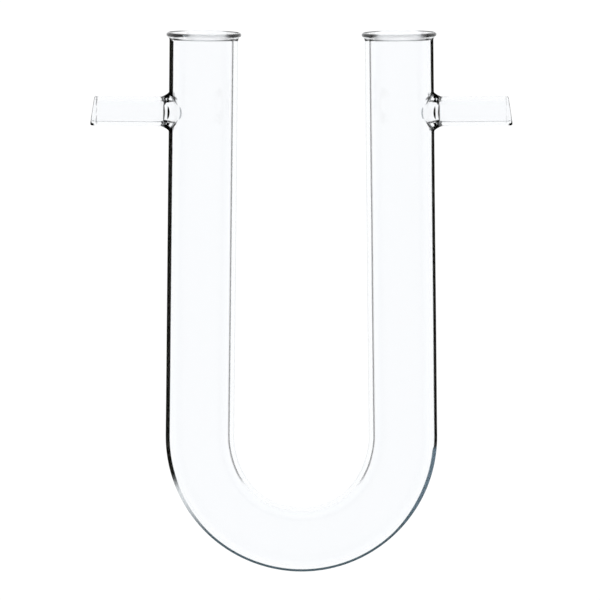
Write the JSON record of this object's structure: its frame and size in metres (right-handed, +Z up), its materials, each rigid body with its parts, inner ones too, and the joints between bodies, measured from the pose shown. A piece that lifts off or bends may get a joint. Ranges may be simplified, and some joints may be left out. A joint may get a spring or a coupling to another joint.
{
  "type": "drying tube",
  "caption": "U-shaped tube of clear glass with flared mouths and a short straight side arm fused to the outer side of each leg.",
  "frame": {"origin": "on the surface it lies on, under the middle of its bounding box", "axes": "+Y along the legs towards the mouths, +X across the U from one leg to the other, +Z up from the surface"},
  "size_m": [0.1172, 0.1501, 0.0208],
  "materials": {
    "clear_glass": "clear, flame-polished borosilicate glass"
  },
  "bodies": {
    "root": {"u_tube": "clear_glass"}
  },
  "joints": []
}
